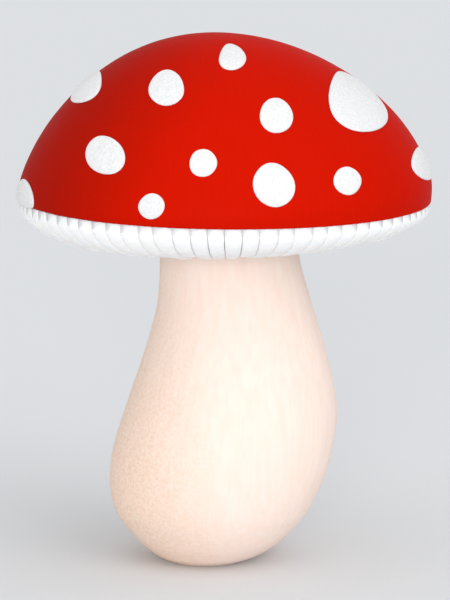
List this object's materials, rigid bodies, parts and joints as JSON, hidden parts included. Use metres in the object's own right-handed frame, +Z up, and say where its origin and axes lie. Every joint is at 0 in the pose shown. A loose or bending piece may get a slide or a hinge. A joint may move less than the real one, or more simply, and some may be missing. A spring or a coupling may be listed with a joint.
{
  "type": "fly agaric mushroom",
  "caption": "Fly agaric mushroom, upright: a domed red cap with white veil warts, white gills under it and a thick cream stem with a swollen, rounded foot.",
  "frame": {"origin": "on the ground, below the middle of the cap", "axes": "+Z up along the height, +X to the viewer's right, -Y to the front"},
  "size_m": [0.1112, 0.111, 0.143],
  "materials": {
    "red_skin": "satin",
    "gill": "matte",
    "stem_flesh": "matte",
    "veil": "matte"
  },
  "bodies": {
    "root": {"cap": "red_skin", "gills": "gill", "stem": "stem_flesh", "wart_01": "veil", "wart_02": "veil", "wart_03": "veil", "wart_04": "veil", "wart_05": "veil", "wart_06": "veil", "wart_07": "veil", "wart_08": "veil", "wart_09": "veil", "wart_10": "veil", "wart_11": "veil", "wart_12": "veil", "wart_13": "veil", "wart_14": "veil", "wart_15": "veil", "wart_16": "veil", "wart_17": "veil", "wart_18": "veil", "wart_19": "veil", "wart_20": "veil", "wart_21": "veil", "wart_22": "veil", "wart_23": "veil", "wart_24": "veil", "wart_25": "veil", "wart_26": "veil"}
  },
  "joints": []
}
